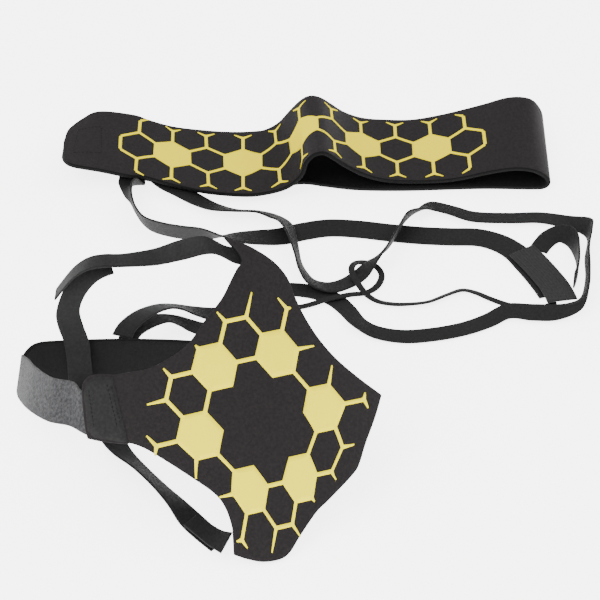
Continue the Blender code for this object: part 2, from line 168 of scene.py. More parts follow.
# Front panel outline on the panel's own (across, up) axes, from the top arm clockwise.
PANEL_OUTLINE = [
    (9, 154), (28, 142), (44, 126), (52, 110), (54, 93), (58, 75), (65, 56), (76, 37), (92, 18), (109, 1),
    (98, -16), (84, -35), (75, -49), (67, -57), (41, -73), (29, -80), (12, -95), (1, -106), (-8, -110),
    (-22, -109), (-34, -104), (-44, -98), (-42, -85), (-41, -75), (-43, -60), (-49, -47), (-65, -29),
    (-81, -12), (-93, 0), (-103, 7), (-103, 64), (-90, 63), (-77, 62), (-57, 67), (-41, 75), (-23, 91),
    (-7, 104), (5, 118), (12, 126), (18, 134),
]
HOLDER_TAB_EDGE = [(-109, 8), (-130, 17), (-134, 24), (-130, 57), (-125, 66), (-117, 68)]

ON_BELT = 6.1             # height of the belt's lower layer under the tether's ends

# Tether routes: x, y, lift over the floor, and roll in degrees, 0 lying flat and 90 on edge.
WIDE_ROUTE = [
    (-160, 183, ON_BELT, 0), (-160, 169, ON_BELT, 0), (-160, 161, 4.8, 0), (-160, 149, 0.3, 60),
    (-159, 139, 0.3, 86), (-156, 124, 0.3, 98), (-150, 107, 0.3, 106), (-141, 94, 0.3, 112),
    (-126, 86, 0.3, 112), (-108, 81, 0.3, 112), (-90, 79, 0.3, 116), (-75, 79, 0.3, 136), (-59, 82, 0.3, 160),
    (-40, 85, 0.3, 172), (-18, 88, 0.3, 178), (4, 96, 0.3, 180), (28, 101, 0.3, 180), (55, 99, 0.3, 180),
    (83, 94, 0.3, 180), (111, 90, 0.3, 180), (139, 88, 0.3, 180), (165, 87, 0.3, 180), (184, 79, 0.3, 180),
    (198, 66, 0.3, 180), (207, 50, 0.3, 180), (216, 32, 0.3, 180), (223, 16, 0.3, 180), (227, 5, 0.3, 180),
]
LONG_ROUTE = [
    (-138, 183, ON_BELT, 0), (-137, 173, ON_BELT, 0), (-128, 161, ON_BELT, 0), (-114, 150, ON_BELT, 0),
    (-98, 139, 3.0, -6), (-81, 129, 0.3, -18), (-61, 121, 0.3, -34), (-40, 119, 0.3, -36),
    (-24, 112, 0.6, -30),
    (-13, 96, 4.6, -36), (-7, 72, 4.6, -56), (-2, 49, 0.3, -66), (4, 29, 0.3, -50), (12, 18, 0.3, -28),
    (27, 14, 0.3, -10), (42, 20, 0.3, -10), (55, 32, 0.3, -12), (65, 42, 3.6, -34), (74, 51, 4.6, -58),
    (83, 67, 3.2, -74), (91, 86, 3.2, -76), (99, 104, 3.2, -72), (111, 119, 0.3, -46), (124, 131, 0.3, -12),
    (142, 125, 0.3, -12), (163, 116, 0.3, -8), (196, 114, 0.3, -8), (225, 115, 0.3, -6), (250, 109, 0.3, 4),
    (265, 98, 0.3, 40), (268, 83, 0.3, 80), (263, 56, 0.3, 82), (261, 28, 0.3, 82), (256, 1, 0.3, 70),
    (246, -15, 2.4, 18), (228, -22, 2.4, -10), (207, -23, 2.4, -14), (186, -20, 2.4, -6), (167, -30, 0.3, 2),
    (145, -41, 0.3, 3), (119, -48, 0.3, 2), (92, -51, 0.3, 2), (68, -46, 0.3, 6), (52, -34, 0.3, 14),
    (42, -16, 0.3, 6), (31, -1, 0.3, 0), (16, 8, 0.3, 0), (-6, 13, 0.3, 0), (-27, 7, 2.8, 0),
    (-46, -14, 2.8, 0), (-62, -34, 2.8, 0), (-73, -41, 2.8, 0), (-85, -44, 2.8, 2), (-97, -42, 4.6, 8),
    (-108, -42, 10.0, 10),
    (-120, -48, 18.0, 10), (-133, -62, 25.5, 6), (-145, -78, 30.0, 2), (-149, -92, 30.5, 0),
]
THIN_ROUTE = [
    (-29, -17, 0.3, 0), (-14, -14, 0.3, 0), (0, -11, 0.3, 0), (12, -8, 1.6, 0), (23, -4, 3.0, 0),
    (34, -1, 3.4, 0), (46, 3, 3.0, 0), (59, 8, 0.3, -4), (69, 16, 0.3, 10), (74, 28, 0.3, 14),
    (73, 39, 0.3, 4),
    (67, 48, 0.3, 0), (59, 51, 0.3, 0), (51, 46, 3.8, 4), (47, 36, 6.6, 4), (48, 25, 6.8, 2),
    (53, 13, 6.0, 0),
    (60, 3, 3.0, 0), (70, -4, 0.3, -12), (84, -8, 0.3, -16), (100, -8, 0.3, -22), (116, -5, 0.3, -28),
    (132, 4, 0.3, -28), (146, 11, 0.3, -20), (158, 8, 0.3, -14), (171, 0, 0.3, -6), (184, -7, 0.3, 0),
    (198, -12, 0.3, 0), (212, -13, 0.3, 0), (223, -9, 0.3, 0), (229, -3.5, 0.3, 0),
]
LEAD_ROUTE = [
    (-153, -92, 37.5, 0), (-149, -80, 37.5, -2), (-141, -67, 36.0, -6), (-131, -53, 31.0, -12),
    (-119, -38, 22.0, -18), (-107, -28, 12.0, -20), (-94, -23, 4.0, -14), (-78, -21, 0.3, -2),
    (-62, -20, 0.3, 0), (-46, -18.5, 0.3, 0), (-30.5, -17.4, 0.3, 0),
]
SLACK_ROUTE = [
    (219.5, 68, 0.3, 0), (224, 76, 0.3, 2), (230, 83, 0.3, 12), (238, 87, 0.3, 24), (246, 84, 0.3, 46),
    (252, 73, 0.3, 66), (254, 54, 0.3, 84), (253, 37, 0.3, 88), (250, 24, 0.3, 90), (247.5, 16, 0.3, 90),
]
ELASTIC_ROUTE = [
    (203.5, 66, 2.6, 0), (212, 52, 2.6, 0), (221.5, 34, 2.6, 0), (229, 17, 3.0, 0), (233, 3, 4.2, 0),
    (235, -8, 5.4, 0),
]
ELASTIC_THICK = 2.6

# The band's edges, from its left end to the fold at the panel's right corner.
BAND_TOP = [
    (-235, -116, 39), (-226, -103, 40), (-204, -99, 40), (-150, -97, 40), (-97, -99, 40), (-50, -105, 40),
    (-8, -120, 42), (26, -144, 48), (50, -170, 56), (65, -190, 61),
]
BAND_LOW = [
    (-236, -126, 2.2), (-228, -113, 1.9), (-206, -109, 1.9), (-150, -107, 1.9), (-97, -109, 1.9),
    (-52, -116, 2.0), (-12, -134, 4), (16, -166, 10), (32, -206, 18), (40, -246, 28),
]


def behind(a, b, depth):
    """A point at depth behind the front panel's outer face, as a plain tuple."""
    return tuple(panel_point(a, b, -depth))


STRAP_BEHIND = PANEL_THICK + GAP + PATCH_THICK + GAP + WEB_THICK / 2 + 0.2
ADJUSTER_TOP = [
    behind(-104, 57, STRAP_BEHIND), behind(-118, 58, STRAP_BEHIND), behind(-132, 59, STRAP_BEHIND + 1),
    (-184, -200, 86), (-203, -183, 75), (-219, -157, 62), (-229, -134, 51), (-236, -120, 43),
]
ADJUSTER_LOW = [
    behind(-107, 17, STRAP_BEHIND), behind(-121, 19, STRAP_BEHIND), behind(-135, 22, STRAP_BEHIND + 1),
    (-186.5, -224.5, 59.5), (-206.5, -208, 49), (-225.5, -180, 35),
    (-237.5, -149, 18), (-242, -130, 9),
]

# The strap over the back of the ball, from its end under the lower tab, along the floor and up past the band.
LOW_RUN = [
    (-64, -301, 0.3, 0), (-79, -285, 0.3, 0), (-90, -272, 0.3, 4), (-101, -258, 0.3, 26),
    (-115, -241, 0.3, 38), (-132, -220, 0.3, 38), (-147, -201, 0.3, 24), (-157, -182, 0.3, 8),
    (-168, -156, 0.3, 2), (-178, -136, 0.3, 0),
]
RISE_RIGHT = [
    (-176, -122, 3.2), (-178, -115.5, 12), (-179, -109, 30), (-180, -104.5, 44), (-184, -103, 61),
    (-186, -103, 77), (-182, -104, 92), (-174, -106, 107), (-165, -110, 119), (-154, -114, 128),
]
RISE_LEFT = [
    (-196, -121, 3.2), (-199, -115.5, 12), (-200, -109, 30), (-202, -104.5, 44), (-206, -103, 61),
    (-206, -103, 77), (-199, -101, 98), (-188, -98, 114), (-174, -96, 124), (-159, -96, 130),
]
TOP_NEAR = [
    behind(31, 128, 5.6), behind(15, 131, 5.6), (-71, -132, 164), (-96, -126, 152.5), (-119, -120, 142),
    (-146.6, -116, 137),
]
TOP_FAR = [
    behind(25, 142, 5.6), behind(8, 149, 5.6), (-78, -121, 174), (-98, -110, 161), (-121, -101, 144),
    (-146.6, -97, 135),
]
TOP_END_NEAR = [(-147, -116, 137), (-163, -116, 136.5), (-176, -116, 133), (-188, -115, 123),
                (-198, -114, 109), (-205, -113, 98)]
TOP_END_FAR = [(-147, -97, 135), (-163, -97, 134.5), (-176, -97, 131), (-188, -97, 121), (-198, -97, 107),
               (-205, -97, 96)]
LOW_TAB_OUTER = [(-63, -317, 8.5), (-74, -306, 6.8), (-86, -292, 5.6), (-94, -283, 5.2)]
LOW_TAB_INNER = [(-54, -302, 17), (-63, -293, 10), (-75, -280, 6.2), (-84, -272, 5.2)]

# Camera: level with the layout's middle, looking down at 41 degrees from two metres away.
VIEW_RISE = math.radians(41.0)
VIEW_DISTANCE = 2.1
target = at(0, 0, 0)
camera = bpy.data.objects.new("camera", bpy.data.cameras.new("camera"))
camera.data.lens = 140.0
camera.data.sensor_width = 36.0
camera.data.clip_end = 20.0
camera.location = target + Vector((0, -math.cos(VIEW_RISE), math.sin(VIEW_RISE))) * VIEW_DISTANCE
camera.rotation_euler = (target - camera.location).to_track_quat("-Z", "Y").to_euler()
bpy.context.scene.collection.objects.link(camera)
bpy.context.scene.camera = camera


# ---------------------------------------------------------------- materials

CLOTH_SHINE = 0.12


def surface_material(name, colour, roughness, colour_2=None, grain=None, sheen=0.0):
    """A matt cloth: a base colour mottled towards colour_2, and a bump made by grain(nodes, links)."""
    mat = bpy.data.materials.new(name)
    mat.use_nodes = True
    nodes = mat.node_tree.nodes
    links = mat.node_tree.links
    shader = nodes["Principled BSDF"]
    shader.inputs["Base Color"].default_value = (*colour, 1.0)
    shader.inputs["Roughness"].default_value = roughness
    shader.inputs["Metallic"].default_value = 0.0
    shader.inputs["Specular IOR Level"].default_value = CLOTH_SHINE
    shader.inputs["Sheen Weight"].default_value = sheen
    if colour_2 is not None:
        place = nodes.new("ShaderNodeTexCoord")
        mottle = nodes.new("ShaderNodeTexNoise")
        mottle.inputs["Scale"].default_value = 420.0
        mottle.inputs["Detail"].default_value = 3.0
        ramp = nodes.new("ShaderNodeValToRGB")
        ramp.color_ramp.elements[0].position = 0.35
        ramp.color_ramp.elements[0].color = (*colour, 1.0)
        ramp.color_ramp.elements[1].position = 0.68
        ramp.color_ramp.elements[1].color = (*colour_2, 1.0)
        links.new(place.outputs["Object"], mottle.inputs["Vector"])
        links.new(mottle.outputs["Fac"], ramp.inputs["Fac"])
        links.new(ramp.outputs["Color"], shader.inputs["Base Color"])
    if grain is not None:
        height, depth = grain(nodes, links)
        bump = nodes.new("ShaderNodeBump")
        bump.inputs["Strength"].default_value = 0.6
        bump.inputs["Distance"].default_value = depth
        links.new(height, bump.inputs["Height"])
        links.new(bump.outputs["Normal"], shader.inputs["Normal"])
    return mat


def knit_grain(nodes, links):
    place = nodes.new("ShaderNodeTexCoord")
    fine = nodes.new("ShaderNodeTexNoise")
    fine.inputs["Scale"].default_value = 1600.0
    fine.inputs["Detail"].default_value = 2.0
    links.new(place.outputs["Object"], fine.inputs["Vector"])
    return fine.outputs["Fac"], 0.0002


def fuzz_grain(nodes, links):
    place = nodes.new("ShaderNodeTexCoord")
    fine = nodes.new("ShaderNodeTexNoise")
    fine.inputs["Scale"].default_value = 900.0
    fine.inputs["Detail"].default_value = 4.0
    links.new(place.outputs["Object"], fine.inputs["Vector"])
    return fine.outputs["Fac"], 0.0008


def weave_grain(nodes, links):
    """Picks across a webbing and warp lines along it, on the strip's own lengths."""
    place = nodes.new("ShaderNodeTexCoord")
    picks = nodes.new("ShaderNodeTexWave")
    picks.bands_direction = "X"
    picks.inputs["Scale"].default_value = 260.0
    picks.inputs["Distortion"].default_value = 0.4
    warp = nodes.new("ShaderNodeTexWave")
    warp.bands_direction = "Y"
    warp.inputs["Scale"].default_value = 330.0
    both = nodes.new("ShaderNodeMath")
    both.operation = "ADD"
    links.new(place.outputs["UV"], picks.inputs["Vector"])
    links.new(place.outputs["UV"], warp.inputs["Vector"])
    links.new(picks.outputs["Fac"], both.inputs[0])
    links.new(warp.outputs["Fac"], both.inputs[1])
    return both.outputs["Value"], 0.0002


def hook_grain(nodes, links):
    place = nodes.new("ShaderNodeTexCoord")
    cells = nodes.new("ShaderNodeTexVoronoi")
    cells.inputs["Scale"].default_value = 700.0
    links.new(place.outputs["Object"], cells.inputs["Vector"])
    return cells.outputs["Distance"], 0.0008


NEOPRENE = surface_material("neoprene", (0.0095, 0.0080, 0.0085), 0.82, (0.014, 0.012, 0.0125), knit_grain)
EDGE = surface_material("neoprene_edge", (0.004, 0.004, 0.004), 0.9, None, knit_grain)
LINING = surface_material("neoprene_lining", (0.004, 0.004, 0.004), 0.85, (0.006, 0.006, 0.006), knit_grain)
TAB_FACE = surface_material("tab_face", (0.012, 0.0115, 0.0115), 0.85, (0.017, 0.0165, 0.0165), knit_grain)
WEBBING = surface_material("webbing", (0.0075, 0.0075, 0.0075), 0.75, (0.011, 0.011, 0.011), weave_grain)
FUZZ = surface_material("loop_fuzz", (0.016, 0.016, 0.017), 0.95, (0.046, 0.046, 0.048), fuzz_grain, 0.1)
HOOK = surface_material("hook_tape", (0.004, 0.004, 0.004), 0.6, (0.007, 0.007, 0.007), hook_grain)
RIB = surface_material("ribbed_elastic", (0.012, 0.012, 0.012), 0.6, (0.018, 0.018, 0.018), None)
THREAD = surface_material("thread", (0.004, 0.004, 0.004), 0.6)


def print_material(name, colour):
    """Printed ink, with no shine of its own."""
    mat = surface_material(name, colour, 0.8)
    mat.node_tree.nodes["Principled BSDF"].inputs["Specular IOR Level"].default_value = 0.0
    return mat


PRINT_BELT = print_material("print_belt", (0.76, 0.63, 0.0))
PRINT_PANEL = print_material("print_panel", (0.84, 0.72, 0.0))


# ---------------------------------------------------------------- mesh helpers

def new_piece(name, mesh, *mats):
    obj = bpy.data.objects.new(name, mesh)
    for mat in mats:
        mesh.materials.append(mat)
    bpy.context.scene.collection.objects.link(obj)
    for poly in mesh.polygons:
        poly.use_smooth = True
    return obj


def section(width, thick, steps, radius):
    """(v, h) round a strip's cross-section: v from 0 to 1 across it, h over its middle."""
    r = min(radius, thick / 2 - 0.01)
    inset = r / width
    flat = thick / 2 - r
    out = [(inset + (1 - 2 * inset) * i / steps, thick / 2) for i in range(steps + 1)]
    for deg in (60, 30, 0):
        a = math.radians(deg)
        out.append((1 - inset + inset * math.cos(a), flat + r * math.sin(a)))
    for deg in (0, 30, 60):
        a = math.radians(deg)
        out.append((1 - inset + inset * math.cos(a), -flat - r * math.sin(a)))
    out += [(inset + (1 - 2 * inset) * i / steps, -thick / 2) for i in range(steps, -1, -1)]
    for deg in (60, 30, 0):
        a = math.radians(deg)
        out.append((inset - inset * math.cos(a), -flat - r * math.sin(a)))
    for deg in (0, 30, 60):
        a = math.radians(deg)
        out.append((inset - inset * math.cos(a), flat + r * math.sin(a)))
    return out


def swept(name, surface, thick, width, length_steps, width_steps, radius, mats, span=(0.0, 1.0),
          shape=None, rim=None, under=None):
    """A closed strip of cloth on a surface(u, v, h). shape(u, v) adds to the upper face's height."""
    profile = section(width, thick, width_steps, radius)
    count = len(profile)
    bm = bmesh.new()
    uv_layer = bm.loops.layers.uv.new("UVMap")
    marks = [span[0] + (span[1] - span[0]) * i / length_steps for i in range(length_steps + 1)]
    rings = []
    run = 0.0
    before = None
    runs = []
    for u in marks:
        middle = surface(u, 0.5, 0.0)
        if before is not None:
            run += (middle - before).length
        before = middle
        runs.append(run)
    for i, u in enumerate(marks):
        from_end = min(runs[i], run - runs[i])
        squeeze = 1.0 if from_end > radius else 0.55 + 0.45 * math.sqrt(max(from_end / radius, 0.0))
        ring = []
        for v, h in profile:
            extra = shape(u, v) if shape is not None and h > 0 else 0.0
            ring.append(bm.verts.new(at(*surface(u, v, h * squeeze + extra))))
        rings.append(ring)
    side = set(range(width_steps, width_steps + 7)) | set(range(2 * width_steps + 7, count))
    bottom = set(range(width_steps + 7, 2 * width_steps + 7))
    for i in range(length_steps):
        for k in range(count):
            j = (k + 1) % count
            face = bm.faces.new((rings[i][k], rings[i + 1][k], rings[i + 1][j], rings[i][j]))
            if rim is not None and k in side:
                face.material_index = rim
            elif under is not None and k in bottom:
                face.material_index = under
            for loop, (row, col) in zip(face.loops, ((i, k), (i + 1, k), (i + 1, j), (i, j))):
                loop[uv_layer].uv = (runs[row] * MM, profile[col][0] * width * MM)
    for ring in (rings[0], rings[-1]):
        cap = bm.faces.new(ring)
        cap.smooth = False
        if rim is not None:
            cap.material_index = rim
    bmesh.ops.recalc_face_normals(bm, faces=bm.faces)
    mesh = bpy.data.meshes.new(name)
    bm.to_mesh(mesh)
    bm.free()
    return new_piece(name, mesh, *mats)


def stepped(outline, spacing):
    """The outline with its long edges broken into steps no longer than spacing."""
    out = []
    for i, end in enumerate(outline):
        start = Vector(outline[i - 1])
        steps = max(1, math.ceil((Vector(end) - start).length / spacing))
        out += [tuple(start.lerp(Vector(end), k / steps)) for k in range(1, steps + 1)]
    return out


def inside(p, corners):
    hit = False
    for i, b in enumerate(corners):
        a = corners[i - 1]
        if (a[1] > p[1]) != (b[1] > p[1]) and p[0] < (b[0] - a[0]) * (p[1] - a[1]) / (b[1] - a[1]) + a[0]:
            hit = not hit
    return hit


def edge_distance(p, corners):
    best = 1e9
    for i, end in enumerate(corners):
        a, b = Vector(corners[i - 1]), Vector(end)
        t = max(0.0, min(1.0, (p - a).dot(b - a) / max((b - a).length_squared, 1e-9)))
        best = min(best, (a.lerp(b, t) - p).length)
    return best


def filled(polygons, spacing):
    """Flat polygons, which may touch or overlap, as one net of triangles: (points, triangles)."""
    points, edges, faces, extra = [], [], [], []
    for corners in polygons:
        ring = stepped(corners, spacing)
        first = len(points)
        points += [Vector(p) for p in ring]
        edges += [(first + i, first + (i + 1) % len(ring)) for i in range(len(ring))]
        faces.append([first + i for i in range(len(ring))])
        low_a, high_a = min(p[0] for p in corners), max(p[0] for p in corners)
        low_b, high_b = min(p[1] for p in corners), max(p[1] for p in corners)
        for j in range(int((high_b - low_b) / spacing) + 1):
            for i in range(int((high_a - low_a) / spacing) + 1):
                p = Vector((low_a + (i + 0.5 * (j % 2)) * spacing, low_b + j * spacing))
                if inside(p, corners) and edge_distance(p, corners) > 0.45 * spacing:
                    extra.append(p)
    verts, _, tris, *_ = delaunay_2d_cdt(points + extra, edges, faces, 0, 1e-4)
    boxes = [(min(p[0] for p in c), max(p[0] for p in c), min(p[1] for p in c), max(p[1] for p in c), c)
             for c in polygons]
    kept = []
    for tri in tris:
        m = (verts[tri[0]] + verts[tri[1]] + verts[tri[2]]) / 3
        if any(x0 <= m.x <= x1 and y0 <= m.y <= y1 and inside(m, c) for x0, x1, y0, y1, c in boxes):
            kept.append(tri)
    used = sorted({i for tri in kept for i in tri})
    number = {old: new for new, old in enumerate(used)}
    return [verts[i] for i in used], [[number[i] for i in tri] for tri in kept]


def patch(name, polygons, spacing, surface, height, thick, mats, rim=None, under=None):
    """Flat polygons laid on surface(a, b, h) and thickened inwards from height."""
    verts, tris = filled(polygons, spacing)
    mesh = bpy.data.meshes.new(name)
    mesh.from_pydata([at(*surface(v.x, v.y, height)) for v in verts], [], [list(t) for t in tris])
    mesh.update()
    uv = mesh.uv_layers.new(name="UVMap")
    for loop in mesh.loops:
        v = verts[loop.vertex_index]
        uv.data[loop.index].uv = (v.x * MM, v.y * MM)
    obj = new_piece(name, mesh, *mats)
    up = Vector((0, 0, 0))
    for poly in mesh.polygons:
        up += poly.normal * poly.area
    first = surface(verts[0].x, verts[0].y, 1.0) - surface(verts[0].x, verts[0].y, 0.0)
    if up.dot(first) < 0:
        mesh.flip_normals()
    solid = obj.modifiers.new("thickness", "SOLIDIFY")
    solid.thickness = thick * MM
    solid.offset = -1.0
    if rim is not None:
        solid.material_offset_rim = rim
    if under is not None:
        solid.material_offset = under
    return obj


def smooth_ring(points, sharp, steps=5):
    """A closed line through the points, smooth except at the sharp ones."""
    count = len(points)
    out = []
    for i in range(count):
        p0, p1, p2, p3 = (Vector(points[(i + k) % count]) for k in (-1, 0, 1, 2))
        if i in sharp:
            p0 = p1
        if (i + 1) % count in sharp:
            p3 = p2
        for k in range(steps):
            t = k / steps
            out.append(tuple(0.5 * (2 * p1 + (p2 - p0) * t + (2 * p0 - 5 * p1 + 4 * p2 - p3) * t * t
                                    + (3 * p1 - p0 - 3 * p2 + p3) * t * t * t)))
    return out


# Along a stitch: share of its length, share of its radius, lift in radii.
STITCH_RINGS = ((0.0, 0.5, -0.35), (0.2, 1.0, 0.0), (0.8, 1.0, 0.0), (1.0, 0.5, -0.35))


def seam(name, surface, lines, height, stitch=2.4, gap=1.1, radius=0.32):
    """Rows of stitches along flat lines on surface(a, b, h)."""
    bm = bmesh.new()
    for line in lines:
        corners = [Vector(p) for p in line]
        for start, end in zip(corners, corners[1:]):
            length = (end - start).length
            number = max(1, round(length / (stitch + gap)))
            for k in range(number):
                a = start.lerp(end, (k + 0.5 * gap / (stitch + gap)) / number)
                b = start.lerp(end, (k + 1 - 0.5 * gap / (stitch + gap)) / number)
                p, q = surface(a.x, a.y, height), surface(b.x, b.y, height)
                up = (surface(a.x, a.y, height + 1.0) - p).normalized()
                along = (q - p).normalized()
                across = along.cross(up)
                rings = []
                for share, size, lift in STITCH_RINGS:
                    c = p.lerp(q, share) + up * lift * radius
                    ring = []
                    for i in range(6):
                        w = i * math.tau / 6
                        spot = c + (across * math.cos(w) + up * math.sin(w)) * radius * size
                        ring.append(bm.verts.new(at(*spot)))
                    rings.append(ring)
                for one, two in zip(rings, rings[1:]):
                    for i in range(6):
                        bm.faces.new((one[i], two[i], two[(i + 1) % 6], one[(i + 1) % 6]))
                bm.faces.new(rings[0])
                bm.faces.new(rings[-1])
    bmesh.ops.recalc_face_normals(bm, faces=bm.faces)
    mesh = bpy.data.meshes.new(name)
    bm.to_mesh(mesh)
    bm.free()
    return new_piece(name, mesh, THREAD)


# ---------------------------------------------------------------- tethers

def tether(name, route, width, per_span, radius=0.85):
    near, far = rolled(route, width)
    surface = lofted(near, far)
    obj = swept(name, surface, WEB_THICK, width, (len(route) - 1) * per_span, 6, radius, [WEBBING])
    path = [at(*surface(i / 600, 0.5, 0.0)) for i in range(601)]
    length = sum((b - a).length for a, b in zip(path, path[1:]))
    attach(obj, "kit")
    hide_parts(name)
    return obj, path, length


wide, wide_path, wide_length = tether("wide_tether", WIDE_ROUTE, WIDE_WEB, 8)
long, long_path, long_length = tether("long_tether", LONG_ROUTE, RIBBON_WEB, 8)
thin, thin_path, thin_length = tether("thin_tether", THIN_ROUTE, CORD_WEB, 8)
lead, lead_path, lead_length = tether("upper_lead", LEAD_ROUTE, RIBBON_WEB, 8)
slack = tether("slack_ribbon", SLACK_ROUTE, RIBBON_WEB, 10)[0]

RIBS = 10
elastic_surface = lofted(*rolled(ELASTIC_ROUTE, ELASTIC_WEB))


def ribs(u, v):
    return 0.45 * abs(math.sin(math.pi * (RIBS * v + 0.12 * math.sin(7 * u)))) ** 0.7 - 0.2


elastic = swept("ribbed_elastic", elastic_surface, ELASTIC_THICK - 0.5, ELASTIC_WEB, 60, RIBS * 8, 0.9, [RIB],
                shape=ribs)
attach(elastic, "kit")
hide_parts("ribbed_elastic")


# ---------------------------------------------------------------- belt

BELT_ROWS_NEAR = TAB_NEAR[:-1] + [(-162.8, 162, 14)] + BELT_NEAR[1:]
BELT_ROWS_FAR = TAB_FAR[:-1] + [(-162.8, 255, 17)] + BELT_FAR[1:]
belt_surface = lofted(BELT_ROWS_NEAR, BELT_ROWS_FAR)
BELT_STATIONS = 1600
HINGE_U = (len(TAB_NEAR) - 1) / (len(BELT_ROWS_NEAR) - 1)


def belt_run():
    """Length along the belt's middle line from the hinge, at even steps of u."""
    points = [belt_surface(i / BELT_STATIONS, 0.5, 0.0) for i in range(BELT_STATIONS + 1)]
    runs = [0.0]
    for a, b in zip(points, points[1:]):
        runs.append(runs[-1] + (b - a).length)
    k = HINGE_U * BELT_STATIONS
    zero = runs[int(k)] + (runs[int(k) + 1] - runs[int(k)]) * (k - int(k))
    return [r - zero for r in runs]


BELT_RUN = belt_run()


def belt_u(run):
    low, high = 0, BELT_STATIONS
    while high - low > 1:
        mid = (low + high) // 2
        if BELT_RUN[mid] > run:
            high = mid
        else:
            low = mid
    share = (run - BELT_RUN[low]) / (BELT_RUN[high] - BELT_RUN[low])
    return (low + share) / BELT_STATIONS


def belt_at(run, across, height=0.0):
    """A point on the belt: run from the hinge, across from its middle, height over its middle layer."""
    u = belt_u(run)
    wide_here = (belt_surface(u, 1.0, 0.0) - belt_surface(u, 0.0, 0.0)).length
    return belt_surface(u, 0.5 + across / wide_here, height)


belt = swept("belt", belt_surface, BELT_THICK, 98.0, (len(BELT_ROWS_NEAR) - 1) * 12, 24, 1.2,
             [NEOPRENE, EDGE, LINING], rim=1, under=2)
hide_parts("belt_body", "belt_closing_tab")

# The belt's print: a row of pointed-top cells with lines out to the belt's edges.
CELL = 20.0                   # side of a cell
PITCH = CELL * math.sqrt(3)
CELLS = 11
PRINT_START = -10.5           # the first cell's left side, along from the hinge
LINE = 3.1
STUB = 9.5
FORK = 1.93                   # where the stubs fork, in cell sides out from the row's middle
INK_LIFT = 0.14               # the print stands this far over the cloth
INK_THICK = 0.24


def bar(a, b, width, taper_a=False, taper_b=False):
    """A line of the print from a to b, with ends cut to meet two others at 120 degrees."""
    a, b = Vector(a), Vector(b)
    along = (b - a).normalized()
    side = Vector((-along.y, along.x)) * width / 2
    cut = along * (width / 2 * 0.577)
    ends = [(a, cut, taper_a), (b, -cut, taper_b)]
    left = []
    right = []
    for place, inward, taper in ends:
        shrink = 0.4 if taper else 1.0
        shift = Vector((0, 0)) if taper else inward
        left.append(place + shift + side * shrink)
        right.append(place + shift - side * shrink)
    return [tuple(p) for p in (a, left[0], left[1], b, right[1], right[0])]


def hexagon(centre, size, first_angle):
    return [(centre[0] + size * math.cos(first_angle + k * math.pi / 3),
             centre[1] + size * math.sin(first_angle + k * math.pi / 3)) for k in range(6)]


def belt_print():
    shapes = []
    sides = [PRINT_START + k * PITCH for k in range(CELLS + 1)]
    for k, x in enumerate(sides):
        shapes.append(bar((x, -CELL / 2), (x, CELL / 2), LINE))
        for sign in (1, -1):
            if k < CELLS:
                top = (x + PITCH / 2, sign * CELL)
                shapes.append(bar((x, sign * CELL / 2), top, LINE))
                shapes.append(bar(top, (x + PITCH, sign * CELL / 2), LINE))
                out = (top[0], sign * FORK * CELL)
                shapes.append(bar(top, out, LINE))
                step = Vector((math.cos(math.pi / 6), sign * 0.5)) * STUB
                if k < CELLS - 1:
                    shapes.append(bar(out, (out[0] + step.x, out[1] + step.y), LINE, taper_b=True))
                if k > 0:
                    shapes.append(bar(out, (out[0] - step.x, out[1] + step.y), LINE, taper_b=True))
    for k in range(1, CELLS, 2):
        centre = (PRINT_START + (k + 0.5) * PITCH, 0.0)
        shapes.append(hexagon(centre, CELL + LINE / 2 / math.cos(math.pi / 6), math.pi / 2))
    return shapes


belt_ink = patch("belt_print", belt_print(), 3.0, belt_at, BELT_THICK / 2 + INK_LIFT, INK_THICK,
                 [PRINT_BELT])
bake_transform(belt)
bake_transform(belt_ink)

TAB_BOX = [(-54, -20), (-29, -20), (-29, 20), (-54, 20), (-54, -20)]
belt_seam = seam("belt_tab_seam", belt_at, [TAB_BOX], BELT_THICK / 2 + 0.02)
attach(belt_seam, "belt_tab")


def square(a0, b0, a1, b1, radius):
    """A rectangle with rounded corners."""
    out = []
    for cx, cy, turn in ((a1 - radius, b1 - radius, 0), (a0 + radius, b1 - radius, 90),
                         (a0 + radius, b0 + radius, 180), (a1 - radius, b0 + radius, 270)):
        for k in range(4):
            w = math.radians(turn + 30 * k)
            out.append((cx + radius * math.cos(w), cy + radius * math.sin(w)))
    return out


belt_hook = patch("belt_hook_patch", [square(-53, -21, -17, 27, 3)], 5.0, belt_at,
                  -(BELT_THICK / 2 + 0.05), PATCH_THICK, [HOOK])
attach(belt_hook, "belt_tab")
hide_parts("belt_hook_patch")


def flat_strip(near, far, rows):
    """Edges of a straight flat strip between two rows of (x, y, z)."""
    return ([tuple(Vector(near[0]).lerp(Vector(near[1]), i / rows)) for i in range(rows + 1)],
            [tuple(Vector(far[0]).lerp(Vector(far[1]), i / rows)) for i in range(rows + 1)])


bed = PATCH_THICK / 2 + 0.1
loop_patch = swept("belt_loop_patch", lofted(*flat_strip([(-196, 196, bed), (-80, 196, bed)],
                                                          [(-196, 238, bed), (-80, 238, bed)], 4)),
                   PATCH_THICK, 42.0, 40, 14, 0.5, [FUZZ])
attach(loop_patch, "kit")
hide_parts("belt_loop_patch")

ANCHOR_WEB = 28.0
ANCHOR_RUN = 52.0
top = 3.7 + BELT_THICK / 2 + GAP + WEB_THICK / 2
anchor_surface = lofted(*flat_strip([(-174, 184, top), (-122, 184, top)],
                                    [(-174, 212, top), (-122, 212, top)], 4))
anchor = swept("belt_tether_anchor", anchor_surface, WEB_THICK, ANCHOR_WEB, 20, 8, 0.8, [WEBBING])
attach(anchor, "kit")
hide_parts("belt_tether_anchor")


def on_strip(surface, width, length):
    """A flat map (run, across) in millimetres onto surface(u, v, h)."""
    return lambda a, b, h: surface(a / length, 0.5 + b / width, h)


